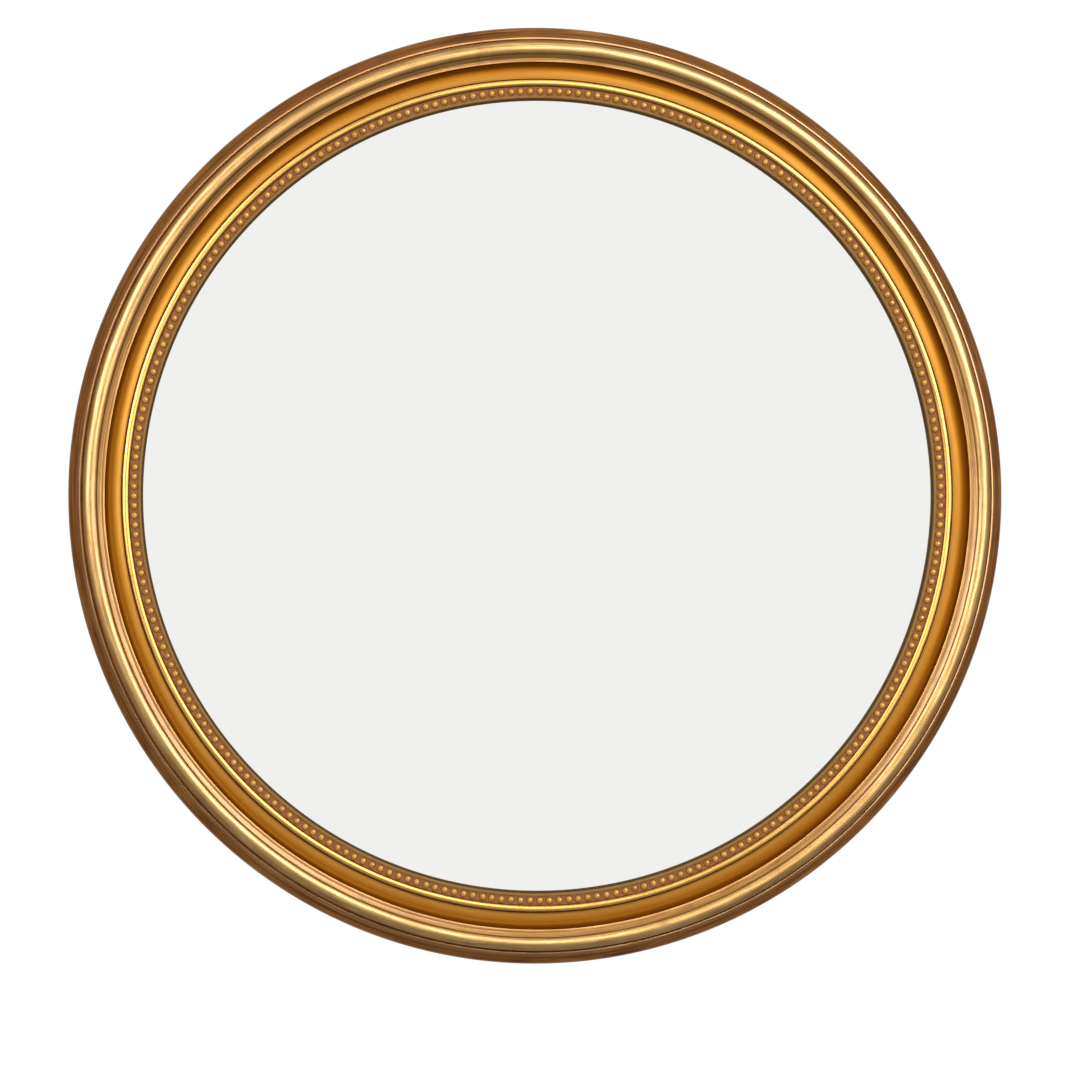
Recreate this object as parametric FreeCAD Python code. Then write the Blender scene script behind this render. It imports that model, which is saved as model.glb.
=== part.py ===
import FreeCAD, Part
import math
import os

# Convex butlers mirror: a domed glass in a round gilt moulded frame that hangs on a wall.
# Sizes are in millimetres. The front faces -Y, +Z is up, and the origin is the middle of the
# mirror on the wall's surface. A radius is measured from the mirror's axis, and a height is how
# far something stands out from the wall, so that a point lies at Y = -height. A place round the
# frame is an angle in degrees, clockwise from the top as seen from the front.

# wall bumpers: rubber studs that keep the frame off the wall
bumper_height = 5.0
bumper_radius = 9.0
bumper_face_radius = 7.5
bumper_margin = 4.6
bumper_angles = {"top_left": -30, "top_right": 30, "bottom_right": 150, "bottom_left": -150}

# convex glass: one sheet slumped over a dome, with a ground edge
glass_radius = 250.0
glass_rise = 38.0
glass_thickness = 4.0
glass_edge_clearance = 1.5
glass_seat_clearance = 0.1

# both wooden rings are glued up from segments, laid so that no joint meets a joint
segment_count = 8
segment_joint = 0.02

# back ring: the painted wooden ring at the back, which stands out past the front moulding
back_ring_reveal = 4.0
back_ring_thickness = 9.0
nose_depth = 2.4
board_ledge = 10.8

# backing board, which lies in the back ring's rebate
board_thickness = 3.0
board_clearance = 0.8
board_sink = 0.2

# front moulding: the gilded ring, by its widths from the cove's inner edge outwards
cove_margin = 0.8
cove_width = 9.9
cove_wall = 3.0
cove_outer_radius = 3.8
cove_inner_radius = 10.0
fillet_width = 1.8
flank_width = 2.4
flank_fall = 1.2
quirk_width = 0.5
quirk_depth = 1.0
torus_radius = 4.6
torus_rise = 5.8
torus_inner_angle = 137.0
groove_radius = 1.6
edge_width = 1.1
band_batter = 2.9
band_height = 5.4

# beaded slip: the inner gilt ring, set in the front moulding's rebate over the glass's edge
glass_cover = 4.2
slip_clearance = 0.2
slip_seat = 15.5
lip_height = 2.9
lip_bevel = 0.9
lip_width = 1.8
channel_width = 5.6
channel_depth = 0.8
astragal_width = 4.8
astragal_rise = 1.6
astragal_foot = 2.4

# bead course: small half-round beads in the slip's channel
bead_pitch = 5.96
bead_radius = 2.35
bead_sides = 8
bead_steps = (0.0, 38.0, 68.0)

# glazing blocks: wooden blocks glued in behind the glass
block_count = 8
block_length = 32.0
block_width = 11.0
block_glue = 0.05
block_clearance = 0.3

# screws
screw_radius = 1.75
screw_head_radius = 3.4
screw_head_height = 1.9
screw_length = 9.6
screw_tip = 2.0
pilot_clearance = 0.05

# turn buttons: flat plates that turn on their screws and hold the board in
button_angles = {"top": 0, "right": 90, "bottom": 180, "left": -90}
button_setback = 11.2
button_thickness = 1.3
button_eye_radius = 7.0
button_tip_radius = 3.6
button_reach = 21.5
button_bore_clearance = 0.06
button_head_gap = 0.1

# strap hangers with their D-rings
hanger_angles = {"left": -60, "right": 60}
hinge_setback = 2.2
strap_width = 10.0
strap_ply = 0.9
strap_length = 19.0
strap_screw_distance = 11.8
strap_hole_clearance = 0.2
strap_slope_angle = 60.0
ring_wire_radius = 1.15
ring_bore_clearance = 0.06
ring_half_width = 7.45
ring_leg = 5.5

# heights that follow from the sizes above
frame_back = bumper_height
board_back = frame_back + board_sink
board_front = board_back + board_thickness
moulding_foot = frame_back + back_ring_thickness
slip_back = frame_back + slip_seat

# radii that follow, from the glass outwards
sight_radius = glass_radius - glass_cover
channel_inner = sight_radius + lip_width
channel_outer = channel_inner + channel_width
slip_radius = channel_outer + astragal_width
cove_edge_radius = slip_radius + cove_margin
fillet_inner_radius = cove_edge_radius + cove_width
fillet_outer_radius = fillet_inner_radius + fillet_width
flank_radius = fillet_outer_radius + flank_width
torus_lean = math.radians(torus_inner_angle)
torus_middle_radius = flank_radius + quirk_width - torus_radius * math.cos(torus_lean)
groove_inner_radius = torus_middle_radius + torus_radius
band_top_radius = groove_inner_radius + groove_radius + edge_width
band_foot_radius = band_top_radius + band_batter
back_ring_radius = band_foot_radius + back_ring_reveal

# radii that follow on the back
bore_radius = glass_radius + glass_edge_clearance
board_rebate_radius = bore_radius + board_ledge
board_radius = board_rebate_radius - board_clearance
button_pivot_radius = board_rebate_radius + button_setback
hinge_radius = board_rebate_radius + hinge_setback
bumper_ring_radius = back_ring_radius - nose_depth - bumper_margin - bumper_radius

# the glass's front lies on a sphere that meets the slip's back at the sight edge
glass_sphere = (glass_radius**2 + glass_rise**2) / (2 * glass_rise)
glass_middle = slip_back - glass_seat_clearance - math.sqrt(glass_sphere**2 - sight_radius**2)

AXIS = FreeCAD.Vector(0, 1, 0)
ORIGIN = FreeCAD.Vector(0, 0, 0)


def at(radius, height):
    """A point of a section, drawn in the half plane to the right of the mirror's axis."""
    return FreeCAD.Vector(radius, -height, 0)


def arc_point(middle, radius, degrees):
    """A point of an arc in a section: 0 points outwards, 90 away from the wall."""
    turn = math.radians(degrees)
    return (middle[0] + radius * math.cos(turn), middle[1] + radius * math.sin(turn))


def arc(middle, radius, start, end):
    """A step of an outline: the middle point and the end point of an arc about middle."""
    return (arc_point(middle, radius, (start + end) / 2), arc_point(middle, radius, end))


def section(start, steps):
    """A closed face. Each step is an end point, or an arc's middle point and its end point."""
    edges = []
    here = start
    for step in steps:
        if isinstance(step[0], tuple):
            edges.append(Part.Arc(at(*here), at(*step[0]), at(*step[1])).toShape())
            here = step[1]
        else:
            edges.append(Part.LineSegment(at(*here), at(*step)).toShape())
            here = step
    edges.append(Part.LineSegment(at(*here), at(*start)).toShape())
    return Part.Face(Part.Wire(edges))


def turned(face, degrees=360.0):
    return face.revolve(ORIGIN, AXIS, degrees)


def round_the_frame(shape, degrees):
    """A copy of a piece drawn at the top of the frame, carried round to its place."""
    copy = shape.copy()
    copy.rotate(ORIGIN, AXIS, degrees)
    return copy


def at_top(shape, radius, height):
    """A copy of a piece drawn about the origin, set on the frame's top at a radius and height."""
    copy = shape.copy()
    copy.translate(FreeCAD.Vector(0, -height, radius))
    return copy


def segments(face, shift):
    """A ring in equal segments, with its joints shifted round by a part of a segment."""
    step = 360.0 / segment_count
    joint = math.degrees(segment_joint / bore_radius)
    return [
        turned(round_the_frame(face, (index + shift) * step + joint / 2), step - joint)
        for index in range(segment_count)
    ]


def rod(radius, low, high, place=0.0):
    """A round bar along the mirror's axis, between two heights, at a radius on the top."""
    return Part.makeCylinder(radius, high - low, FreeCAD.Vector(0, -high, place), AXIS)


def screw():
    """A pan head screw driven away from the wall: its head's underside is at the origin."""
    shoulder = screw_head_height / 2
    return turned(
        section(
            (0, -screw_head_height),
            [
                (screw_head_radius - shoulder, -screw_head_height),
                (screw_head_radius, -shoulder),
                (screw_head_radius, 0),
                (screw_radius, 0),
                (screw_radius, screw_length - screw_tip),
                (0, screw_length),
            ],
        )
    )


def screw_places():
    """Each screw as its angle, its radius on the frame and the height of its head's underside."""
    button_seat = frame_back - button_thickness - button_head_gap
    strap_seat = frame_back - 2 * strap_ply
    buttons = [(angle, button_pivot_radius, button_seat) for angle in button_angles.values()]
    strap_radius = hinge_radius + strap_screw_distance
    straps = [(angle, strap_radius, strap_seat) for angle in hanger_angles.values()]
    return buttons, straps


def driven(places):
    """The screws at a list of places."""
    return [round_the_frame(at_top(screw(), radius, seat), angle) for angle, radius, seat in places]


def pilot_holes():
    """The holes that the screws bite into, each as deep as its screw."""
    buttons, straps = screw_places()
    holes = []
    for angle, radius, seat in buttons + straps:
        depth = seat + screw_length + pilot_clearance
        hole = rod(screw_radius + pilot_clearance, frame_back, depth, radius)
        holes.append(round_the_frame(hole, angle))
    return holes


def back_ring():
    """The painted back ring's segments: a bullnosed edge, a bore and the board's rebate."""
    rebate = board_front
    shoulder = back_ring_radius - nose_depth
    nose_middle = (back_ring_radius, frame_back + back_ring_thickness / 2)
    face = section(
        (board_rebate_radius, frame_back),
        [
            (shoulder, frame_back),
            (nose_middle, (shoulder, moulding_foot)),
            (bore_radius, moulding_foot),
            (bore_radius, rebate),
            (board_rebate_radius, rebate),
        ],
    )
    holes = pilot_holes()
    return [segment.cut(holes) for segment in segments(face, 0.5)]


def front_moulding():
    """The gilded ring: band, edge, groove, torus, quirk, flank, fillet, cove and the slip's seat."""
    band_top = moulding_foot + band_height
    groove_middle = (groove_inner_radius, band_top)
    torus_middle = (torus_middle_radius, band_top + torus_rise)
    torus_end = arc_point(torus_middle, torus_radius, torus_inner_angle)
    flank_top = torus_end[1] - quirk_depth
    fillet_height = flank_top - flank_fall
    hollow_start = (fillet_inner_radius, fillet_height - cove_wall)
    outer_middle = (hollow_start[0] - cove_outer_radius, hollow_start[1])
    inner_middle = (outer_middle[0], outer_middle[1] - cove_outer_radius + cove_inner_radius)
    reach = (inner_middle[0] - cove_edge_radius) / cove_inner_radius
    inner_end = 270 - math.degrees(math.asin(reach))
    cove_edge = arc_point(inner_middle, cove_inner_radius, inner_end)
    rebate_radius = slip_radius + slip_clearance
    face = section(
        (bore_radius, moulding_foot),
        [
            (band_foot_radius, moulding_foot),
            (band_top_radius, band_top),
            (groove_inner_radius + groove_radius, band_top),
            arc(groove_middle, groove_radius, 0, -90),
            (groove_inner_radius, torus_middle[1]),
            arc(torus_middle, torus_radius, 0, torus_inner_angle),
            (flank_radius, flank_top),
            (fillet_outer_radius, fillet_height),
            (fillet_inner_radius, fillet_height),
            hollow_start,
            arc(outer_middle, cove_outer_radius, 0, -90),
            arc(inner_middle, cove_inner_radius, 270, inner_end),
            (rebate_radius, cove_edge[1]),
            (rebate_radius, slip_back),
            (bore_radius, slip_back),
        ],
    )
    return segments(face, 0.0)


def slip_section():
    """The slip's outline: flat back, sight edge, lip, bead channel and astragal."""
    lip_top = slip_back + lip_height
    channel = lip_top - channel_depth
    astragal_seat = slip_back + astragal_foot
    astragal_top = ((channel_outer + slip_radius) / 2, astragal_seat + astragal_rise)
    return section(
        (sight_radius, slip_back),
        [
            (slip_radius, slip_back),
            (slip_radius, astragal_seat),
            (astragal_top, (channel_outer, astragal_seat)),
            (channel_outer, channel),
            (channel_inner, channel),
            (channel_inner, lip_top),
            (sight_radius + lip_bevel, lip_top),
            (sight_radius, lip_top - lip_bevel),
        ],
    )


def beaded_slip():
    return [turned(slip_section())]


def bead():
    """A half-round bead in few flat faces: an eight-sided dome in steps up to a flat crown."""
    rings = []
    for step in bead_steps:
        lift = math.radians(step)
        radius, height = bead_radius * math.cos(lift), bead_radius * math.sin(lift)
        points = []
        for side in range(bead_sides + 1):
            turn = 2 * math.pi * (side + 0.5) / bead_sides
            points.append(FreeCAD.Vector(radius * math.cos(turn), -height, radius * math.sin(turn)))
        rings.append(Part.makePolygon(points))
    return Part.makeLoft(rings, True, True)


def bead_course():
    """All the beads, evenly pitched round the channel."""
    channel = slip_back + lip_height - channel_depth
    middle = (channel_inner + channel_outer) / 2
    count = round(2 * math.pi * middle / bead_pitch)
    one = at_top(bead(), middle, channel)
    return [round_the_frame(one, 360.0 * index / count) for index in range(count)]


def dome_height(radius, drop=0.0):
    """The height of the glass's front at a radius, or of the sphere that lies drop behind it."""
    return glass_middle + math.sqrt((glass_sphere - drop) ** 2 - radius**2)


def mirror_glass():
    """The domed glass: two spheres about one middle, and a ground edge along the axis."""
    drop = glass_thickness
    half = glass_radius / 2
    front = ((half, dome_height(half)), (glass_radius, dome_height(glass_radius)))
    rim_back = (glass_radius, dome_height(glass_radius, drop))
    back = ((half, dome_height(half, drop)), (0, dome_height(0, drop)))
    return [turned(section((0, dome_height(0)), [front, rim_back, back]))]


def glazing_blocks():
    """The blocks behind the glass: they stand on the board's front and slope with the glass."""
    outer = bore_radius - block_glue
    inner = outer - block_width
    foot = board_front + block_clearance
    face = section(
        (inner, foot),
        [
            (outer, foot),
            (outer, dome_height(glass_radius, glass_thickness) - block_clearance),
            (glass_radius, dome_height(glass_radius, glass_thickness) - block_clearance),
            (inner, dome_height(inner, glass_thickness) - block_clearance),
        ],
    )
    sweep = math.degrees(block_length / bore_radius)
    step = 360.0 / block_count
    return [
        turned(round_the_frame(face, (index + 0.5) * step - sweep / 2), sweep)
        for index in range(block_count)
    ]


def backing_board():
    return [rod(board_radius, board_back, board_front)]


def turn_button():
    """A flat teardrop plate: an eye round the screw, and an arm that tapers to a round tip."""
    lean = math.asin((button_eye_radius - button_tip_radius) / button_reach)
    side = FreeCAD.Vector(math.cos(lean), 0, -math.sin(lean))
    tip = FreeCAD.Vector(0, 0, -button_reach)
    mirror = FreeCAD.Vector(-side.x, 0, side.z)
    eye_right = side * button_eye_radius
    eye_left = mirror * button_eye_radius
    tip_right = tip + side * button_tip_radius
    tip_left = tip + mirror * button_tip_radius
    up = FreeCAD.Vector(0, 0, 1)
    wire = Part.Wire(
        [
            Part.Arc(eye_left, up * button_eye_radius, eye_right).toShape(),
            Part.LineSegment(eye_right, tip_right).toShape(),
            Part.Arc(tip_right, tip - up * button_tip_radius, tip_left).toShape(),
            Part.LineSegment(tip_left, eye_left).toShape(),
        ]
    )
    plate = Part.Face(wire).extrude(FreeCAD.Vector(0, button_thickness, 0))
    bore = screw_radius + button_bore_clearance
    return plate.cut(Part.makeCylinder(bore, button_thickness, ORIGIN, AXIS))


def strap():
    """A strap folded round the D-ring's bar: a barrel on the X axis and a doubled tail."""
    barrel = ring_wire_radius + ring_bore_clearance + strap_ply
    seat = -barrel
    tail_back = seat + 2 * strap_ply
    slope = math.radians(strap_slope_angle)
    bend = FreeCAD.Vector(0, barrel * math.sin(slope), barrel * math.cos(slope))
    run = (bend.y - tail_back) / math.cos(slope)
    valley = FreeCAD.Vector(0, tail_back, bend.z + run * math.sin(slope))
    tail_end = FreeCAD.Vector(0, tail_back, strap_length)
    foot_end = FreeCAD.Vector(0, seat, strap_length)
    foot = FreeCAD.Vector(0, seat, 0)
    wire = Part.Wire(
        [
            Part.Arc(foot, FreeCAD.Vector(0, 0, -barrel), bend).toShape(),
            Part.LineSegment(bend, valley).toShape(),
            Part.LineSegment(valley, tail_end).toShape(),
            Part.LineSegment(tail_end, foot_end).toShape(),
            Part.LineSegment(foot_end, foot).toShape(),
        ]
    )
    half = strap_width / 2
    across = FreeCAD.Vector(1, 0, 0)
    side = Part.Face(wire).extrude(across * strap_width)
    side.translate(across * -half)
    bore = Part.makeCylinder(barrel - strap_ply, strap_width, across * -half, across)
    rounded = Part.makeCylinder(half, 2 * barrel, FreeCAD.Vector(0, seat, strap_length - half), AXIS)
    straight = Part.makeBox(
        strap_width, 2 * barrel, strap_length - half + barrel, FreeCAD.Vector(-half, seat, -barrel)
    )
    hole_place = FreeCAD.Vector(0, seat, strap_screw_distance)
    hole = Part.makeCylinder(screw_radius + strap_hole_clearance, 2 * barrel, hole_place, AXIS)
    return side.common(straight.fuse(rounded)).cut([bore, hole])


def d_ring():
    """A wire ring: a round bar in the strap's barrel and an eight-sided bow below it."""
    wire = ring_wire_radius
    corner = wire / math.cos(math.pi / 8)
    start = FreeCAD.Vector(-ring_half_width, 0, wire)
    points = []
    for side in range(8):
        turn = 2 * math.pi * (side + 0.5) / 8
        points.append(start + FreeCAD.Vector(corner * math.cos(turn), corner * math.sin(turn), 0))
    profile = Part.makePolygon(points + points[:1])
    left = FreeCAD.Vector(-ring_half_width, 0, -ring_leg)
    right = FreeCAD.Vector(ring_half_width, 0, -ring_leg)
    bottom = FreeCAD.Vector(0, 0, -ring_leg - ring_half_width)
    path = Part.Wire(
        [
            Part.LineSegment(start, left).toShape(),
            Part.Arc(left, bottom, right).toShape(),
            Part.LineSegment(right, FreeCAD.Vector(ring_half_width, 0, wire)).toShape(),
        ]
    )
    bow = path.makePipeShell([profile], True, False)
    across = FreeCAD.Vector(1, 0, 0)
    bar = Part.makeCylinder(wire, 2 * ring_half_width, across * -ring_half_width, across)
    return bow.fuse(bar)


def hinge_height():
    """The height of the D-ring's bar: the strap's barrel lies on the back of the frame."""
    return frame_back - (ring_wire_radius + ring_bore_clearance + strap_ply)


def bumper():
    """A rubber stud: its wide end is glued to the frame and its narrow end meets the wall."""
    return turned(
        section(
            (0, 0),
            [
                (bumper_face_radius, 0),
                (bumper_radius, bumper_height),
                (0, bumper_height),
            ],
        )
    )


def nodes():
    """Every separate piece of the mirror, by name."""
    found = {}
    for index, (back, front) in enumerate(zip(back_ring(), front_moulding())):
        found[f"back_ring_segment_{index + 1}"] = [back]
        found[f"moulding_segment_{index + 1}"] = [front]
    found["beaded_slip"] = beaded_slip()
    found["bead_course"] = bead_course()
    found["mirror_glass"] = mirror_glass()
    found["glazing_blocks"] = glazing_blocks()
    found["backing_board"] = backing_board()
    button_screws, strap_screws = screw_places()
    for name, angle in button_angles.items():
        plate = at_top(turn_button(), button_pivot_radius, frame_back)
        found[f"turn_button_{name}"] = [round_the_frame(plate, angle)]
    found["turn_button_screws"] = driven(button_screws)
    for name, angle in hanger_angles.items():
        found[f"strap_hanger_{name}"] = [
            round_the_frame(at_top(strap(), hinge_radius, hinge_height()), angle)
        ]
        found[f"d_ring_{name}"] = [
            round_the_frame(at_top(d_ring(), hinge_radius, hinge_height()), angle)
        ]
    found["hanger_screws"] = driven(strap_screws)
    for name, angle in bumper_angles.items():
        found[f"wall_bumper_{name}"] = [
            round_the_frame(at_top(bumper(), bumper_ring_radius, 0), angle)
        ]
    return found


os.makedirs("parts", exist_ok=True)
for name, solids in nodes().items():
    shape = solids[0] if len(solids) == 1 else Part.makeCompound(solids)
    shape.exportStep(f"parts/{name}.step")
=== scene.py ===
import math
import random

import bmesh
import bpy
from mathutils import Matrix, Vector, noise


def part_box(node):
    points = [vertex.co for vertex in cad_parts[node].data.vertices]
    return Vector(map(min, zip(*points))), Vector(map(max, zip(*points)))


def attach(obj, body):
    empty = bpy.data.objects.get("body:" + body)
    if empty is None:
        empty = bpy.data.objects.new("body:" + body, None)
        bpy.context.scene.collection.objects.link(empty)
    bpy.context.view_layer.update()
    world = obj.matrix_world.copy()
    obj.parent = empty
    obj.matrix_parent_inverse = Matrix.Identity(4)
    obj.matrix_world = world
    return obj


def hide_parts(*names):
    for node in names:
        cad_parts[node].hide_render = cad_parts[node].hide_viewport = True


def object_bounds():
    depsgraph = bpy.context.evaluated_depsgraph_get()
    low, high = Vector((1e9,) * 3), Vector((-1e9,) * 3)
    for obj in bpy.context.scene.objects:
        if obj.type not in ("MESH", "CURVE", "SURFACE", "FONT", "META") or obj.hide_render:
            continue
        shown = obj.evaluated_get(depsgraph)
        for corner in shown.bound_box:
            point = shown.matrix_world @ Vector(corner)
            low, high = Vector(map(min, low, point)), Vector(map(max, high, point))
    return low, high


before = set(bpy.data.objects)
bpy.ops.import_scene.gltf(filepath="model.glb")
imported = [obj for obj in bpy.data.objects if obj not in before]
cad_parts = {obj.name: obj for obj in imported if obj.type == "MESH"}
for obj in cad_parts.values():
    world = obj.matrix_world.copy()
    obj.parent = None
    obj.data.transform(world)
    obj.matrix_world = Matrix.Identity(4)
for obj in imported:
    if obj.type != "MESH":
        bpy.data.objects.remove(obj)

cad_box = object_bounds()

# Back ring: eight softwood segments glued into a ring, turned with a bullnosed edge and a rebate
# for the board. Its edge is painted umber over a red ground and its back is left bare.
mm = 0.001
axis = Vector((0, 1, 0))
ring_radius = cad_box[1].z
ring_back = -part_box("back_ring_segment_1")[1].y
ring_front = -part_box("back_ring_segment_1")[0].y
glass_clearance = 1.5 * mm
bore_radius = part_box("mirror_glass")[1].x + glass_clearance
board_rebate_width = 10.8 * mm
board_rebate_radius = bore_radius + board_rebate_width
board_front = -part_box("backing_board")[0].y
nose_depth = 2.4 * mm
shoulder_in = 0.9 * mm
shoulder_down = 1.6 * mm
ring_softening = 0.5 * mm
paint_lap = 1.2 * mm
hair = 0.1 * mm
segment_angle = math.radians(45)
turning_steps = 480
arc_step = 7.5


def at(radius, height):
    """A point at the top of the ring: how far from the mirror's axis and how far off the wall."""
    return Vector((0, -height, radius))


def only(parts, kind):
    """The vertices or the edges among the parts that an operator gives back."""
    return [part for part in parts if isinstance(part, kind)]


def section(start, steps):
    """A closed outline at the top of the ring. A step is a point, or an arc's middle and turn."""
    outline = bmesh.new()
    first = here = outline.verts.new(at(*start))
    for step in steps:
        if isinstance(step[0], tuple):
            middle, turn = step
            count = max(2, round(abs(turn) / arc_step))
            swung = bmesh.ops.spin(
                outline, geom=[here], cent=at(*middle), axis=(1, 0, 0),
                angle=math.radians(turn), steps=count,
            )
            here = only(swung["geom_last"], bmesh.types.BMVert)[0]
        else:
            fresh = outline.verts.new(at(*step))
            outline.edges.new((here, fresh))
            here = fresh
    outline.edges.new((here, first))
    bmesh.ops.remove_doubles(outline, verts=outline.verts, dist=0.01 * mm)
    return outline


def round_corners(outline, corners, reach, segments=3):
    """Rounds chosen corners of an outline."""
    bmesh.ops.bevel(
        outline, geom=corners, offset=reach, offset_type="OFFSET", segments=segments,
        profile=0.5, affect="VERTICES", material=-1, clamp_overlap=True,
    )


def soften(outline, reach):
    """Rounds all of an outline's corners, as a plane, sandpaper and gesso leave them."""
    flattest_corner = math.radians(155)
    corners = []
    for vert in outline.verts:
        one, other = [edge.other_vert(vert).co - vert.co for edge in vert.link_edges]
        if one.angle(other) < flattest_corner:
            corners.append(vert)
    round_corners(outline, corners, reach)


def turn_round(outline, steps):
    """Turns an outline round the mirror's axis, as on a lathe, and closes it."""
    bmesh.ops.spin(
        outline, geom=outline.verts[:] + outline.edges[:], cent=(0, 0, 0), axis=axis,
        angle=2 * math.pi, steps=steps, use_merge=True,
    )
    bmesh.ops.remove_doubles(outline, verts=outline.verts, dist=0.005 * mm)
    bmesh.ops.recalc_face_normals(outline, faces=outline.faces)


def as_mesh(name, work):
    """Keeps finished mesh work as a mesh."""
    mesh = bpy.data.meshes.new(name)
    work.to_mesh(mesh)
    work.free()
    return mesh


def finished_piece(name, work, finishes, smooth=True):
    """Makes the object of a piece from its mesh work and the finishes on its faces."""
    mesh = as_mesh(name, work)
    for finish in finishes:
        mesh.materials.append(finish)
    if smooth:
        mesh.shade_smooth()
        mesh.set_sharp_from_angle(angle=math.radians(40))
    piece = bpy.data.objects.new(name, mesh)
    bpy.context.scene.collection.objects.link(piece)
    return piece


def new_finish(name):
    """A material's node tree and its shader."""
    material = bpy.data.materials.new(name)
    material.use_nodes = True
    tree = material.node_tree
    return material, tree, tree.nodes["Principled BSDF"]


def add(tree, kind, inputs, output=0, **settings):
    """Adds a shader node, sets or links its inputs and gives one of its outputs."""
    made = tree.nodes.new("ShaderNode" + kind)
    for name, value in settings.items():
        setattr(made, name, value)
    for socket, value in inputs.items():
        if isinstance(value, bpy.types.NodeSocket):
            tree.links.new(value, made.inputs[socket])
        else:
            made.inputs[socket].default_value = value
    return made.outputs[output]


def calc(tree, operation, one, other=0.0):
    """One step of arithmetic on shader values."""
    return add(tree, "Math", {0: one, 1: other}, operation=operation)


def over(tree, share, under, top, blend_type="MIX"):
    """One colour laid over another by a share."""
    inputs = {0: share, 6: under, 7: top}
    return add(tree, "Mix", inputs, output=2, data_type="RGBA", blend_type=blend_type)


def shaded(tree, value, stops):
    """A colour that runs through stops of (value, colour), in the value's own units."""
    low, high = stops[0][0], stops[-1][0]
    share = add(tree, "MapRange", {0: value, 1: low, 2: high})
    made = tree.nodes.new("ShaderNodeValToRGB")
    band = made.color_ramp.elements
    band.remove(band[1])
    for index, (stop, colour) in enumerate(stops):
        place = (stop - low) / (high - low)
        element = band[0] if index == 0 else band.new(place)
        element.position = place
        element.color = (*colour, 1)
    tree.links.new(share, made.inputs[0])
    return made.outputs[0]


def ranged(tree, value, low, high, start=0.0, end=1.0):
    """A value from start to end as another goes from low to high."""
    return add(tree, "MapRange", {0: value, 1: low, 2: high, 3: start, 4: end})


def own_place(tree):
    """The object's own coordinates."""
    return add(tree, "TexCoord", {}, output=3)


def own_xyz(tree):
    """The object's own X, Y and Z, each by itself."""
    apart = tree.nodes.new("ShaderNodeSeparateXYZ")
    tree.links.new(own_place(tree), apart.inputs[0])
    return apart.outputs


def from_axis(tree):
    """How far a point lies from the mirror's axis."""
    x, _, z = own_xyz(tree)
    flat = add(tree, "CombineXYZ", {0: x, 2: z})
    return add(tree, "VectorMath", {0: flat}, output=1, operation="LENGTH")


def streaks(tree, along, across, detail=4.0, distortion=0.0):
    """Noise drawn out along the ring: how long and how wide its strokes are, in metres."""
    x, y, z = own_xyz(tree)
    depth = calc(tree, "SUBTRACT", from_axis(tree), y)
    strokes = add(tree, "CombineXYZ", {
        0: calc(tree, "DIVIDE", x, along),
        1: calc(tree, "DIVIDE", depth, across),
        2: calc(tree, "DIVIDE", z, along),
    })
    inputs = {"Vector": strokes, "Scale": 1.0, "Detail": detail, "Distortion": distortion}
    return add(tree, "TexNoise", inputs)


def clouds(tree, size, detail=3.0, rough=0.5):
    """Noise in patches of one size, in metres."""
    inputs = {"Vector": own_place(tree), "Scale": 1 / size, "Detail": detail, "Roughness": rough}
    return add(tree, "TexNoise", inputs)


def bumped(tree, shader, height, strength, distance):
    """Raises the finish by a height, in metres."""
    inputs = {"Strength": strength, "Distance": distance, "Height": height}
    tree.links.new(add(tree, "Bump", inputs), shader.inputs["Normal"])


def umber_paint():
    """Umber with a little bronze in it, brushed over a red ground and rubbed along the strokes."""
    material, tree, shader = new_finish("umber_paint")
    strokes = streaks(tree, along=30 * mm, across=0.7 * mm)
    tone = shaded(tree, strokes, [
        (0.30, (0.098, 0.031, 0.004)),
        (0.52, (0.192, 0.074, 0.013)),
        (0.72, (0.310, 0.136, 0.033)),
    ])
    rubbed = ranged(tree, clouds(tree, 26 * mm), 0.50, 0.75, 0.0, 0.5)
    tone = over(tree, rubbed, tone, (0.240, 0.070, 0.018, 1))
    tree.links.new(tone, shader.inputs["Base Color"])
    tree.links.new(ranged(tree, strokes, 0.3, 0.7, 0.50, 0.38), shader.inputs["Roughness"])
    bumped(tree, shader, strokes, strength=0.25, distance=0.05 * mm)
    shader.inputs["Metallic"].default_value = 0.25
    shader.inputs["Specular IOR Level"].default_value = 0.1
    return material


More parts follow.
